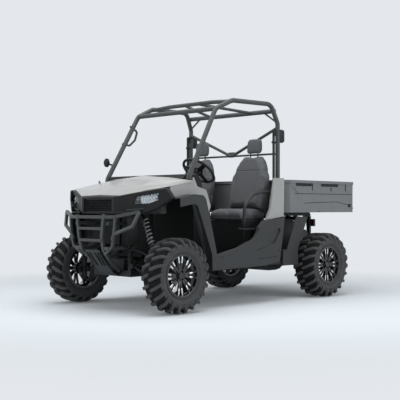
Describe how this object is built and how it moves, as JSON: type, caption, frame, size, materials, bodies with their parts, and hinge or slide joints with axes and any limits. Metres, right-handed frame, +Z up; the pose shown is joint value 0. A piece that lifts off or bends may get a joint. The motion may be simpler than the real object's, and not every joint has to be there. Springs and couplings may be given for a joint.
{
  "type": "side by side utility vehicle",
  "caption": "Open two-seat off-road utility vehicle with a tube cage, turning and steered wheels, a tipping cargo bed and a drop tailgate.",
  "frame": {"origin": "on the ground, under the centre of the bounding box", "axes": "front is -Y, the driver's side (vehicle left) is +X, up is +Z"},
  "size_m": [1.63, 3.0804, 1.9707],
  "materials": {
    "tyre": "matt",
    "rim": "satin black with machined faces",
    "frame_steel": "satin dark grey",
    "under_steel": "satin black",
    "spring_steel": "satin",
    "body_plastic": "silver grey",
    "dark_plastic": "grained dark grey",
    "black_plastic": "grained black",
    "bed_plastic": "grained grey",
    "seat_cover": "matt dark grey",
    "webbing": "matt black",
    "lens": "clear",
    "red_lens": "gloss red",
    "castings": "dull cast"
  },
  "bodies": {
    "chassis": {"cage_left": "frame_steel", "cage_right": "frame_steel", "cage_cross": "frame_steel", "front_bumper": "frame_steel", "restraint_bars": "frame_steel", "chassis_frame": "under_steel", "suspension_arms": "under_steel", "knuckles_rear": "under_steel", "drive_shafts": "under_steel", "steering_gear": "under_steel", "hitch_receiver": "under_steel", "coil_overs": "spring_steel", "hood": "body_plastic", "front_side_panels": "body_plastic", "quarter_panels": "body_plastic", "fascia": "dark_plastic", "front_flares": "dark_plastic", "rockers": "dark_plastic", "rear_fenders": "dark_plastic", "skid_plates": "dark_plastic", "dashboard": "black_plastic", "cab_floor": "black_plastic", "seat_base": "black_plastic", "grille": "black_plastic", "radiator": "black_plastic", "mirror": "black_plastic", "seat_cushions": "seat_cover", "seat_backs": "seat_cover", "seat_belts": "webbing", "headlamps": "lens", "tail_lamps": "red_lens", "powertrain": "castings"},
    "knuckle_front_left": {"knuckle_front_left": "under_steel"},
    "knuckle_front_right": {"knuckle_front_right": "under_steel"},
    "wheel_front_left": {"tyre_front_left": "tyre", "rim_front_left": "rim"},
    "wheel_front_right": {"tyre_front_right": "tyre", "rim_front_right": "rim"},
    "wheel_rear_left": {"tyre_rear_left": "tyre", "rim_rear_left": "rim"},
    "wheel_rear_right": {"tyre_rear_right": "tyre", "rim_rear_right": "rim"},
    "steering_wheel": {"steering_wheel": "black_plastic"},
    "rack_bar": {"tie_rods": "under_steel"},
    "cargo_bed": {"cargo_bed": "bed_plastic"},
    "tailgate": {"tailgate": "bed_plastic"}
  },
  "joints": [
    {"name": "steer_left", "type": "hinge", "parent": "chassis", "child": "knuckle_front_left", "pos_m": [0.597, -1.13, 0.33], "axis": [0, 0, 1], "range_deg": [-30, 30]},
    {"name": "spin_front_left", "type": "hinge", "parent": "knuckle_front_left", "child": "wheel_front_left", "pos_m": [0.685, -1.13, 0.33], "axis": [1, 0, 0], "continuous": true},
    {"name": "steer_right", "type": "hinge", "parent": "chassis", "child": "knuckle_front_right", "pos_m": [-0.597, -1.13, 0.33], "axis": [0, 0, 1], "range_deg": [-30, 30]},
    {"name": "spin_front_right", "type": "hinge", "parent": "knuckle_front_right", "child": "wheel_front_right", "pos_m": [-0.685, -1.13, 0.33], "axis": [1, 0, 0], "continuous": true},
    {"name": "spin_rear_left", "type": "hinge", "parent": "chassis", "child": "wheel_rear_left", "pos_m": [0.685, 0.97, 0.33], "axis": [1, 0, 0], "continuous": true},
    {"name": "spin_rear_right", "type": "hinge", "parent": "chassis", "child": "wheel_rear_right", "pos_m": [-0.685, 0.97, 0.33], "axis": [1, 0, 0], "continuous": true},
    {"name": "steering_wheel_turn", "type": "hinge", "parent": "chassis", "child": "steering_wheel", "pos_m": [0.37, -0.53, 1.27], "axis": [0, 0.6428, 0.766], "range_deg": [-270, 270]},
    {"name": "rack_slide", "type": "slide", "parent": "chassis", "child": "rack_bar", "axis": [1, 0, 0], "range_m": [-0.053, 0.053]},
    {"name": "bed_tilt", "type": "hinge", "parent": "chassis", "child": "cargo_bed", "pos_m": [0, 1.33, 0.842], "axis": [-1, 0, 0], "range_deg": [0, 42]},
    {"name": "tailgate_drop", "type": "hinge", "parent": "cargo_bed", "child": "tailgate", "pos_m": [0, 1.525, 0.916], "axis": [-1, 0, 0], "range_deg": [0, 90]}
  ],
  "couplings": [
    {"joint": "steer_right", "follows": "steer_left", "ratio": 1},
    {"joint": "steering_wheel_turn", "follows": "steer_left", "ratio": 9},
    {"joint": "rack_slide", "follows": "steer_left", "m_per_rad": -0.1}
  ]
}
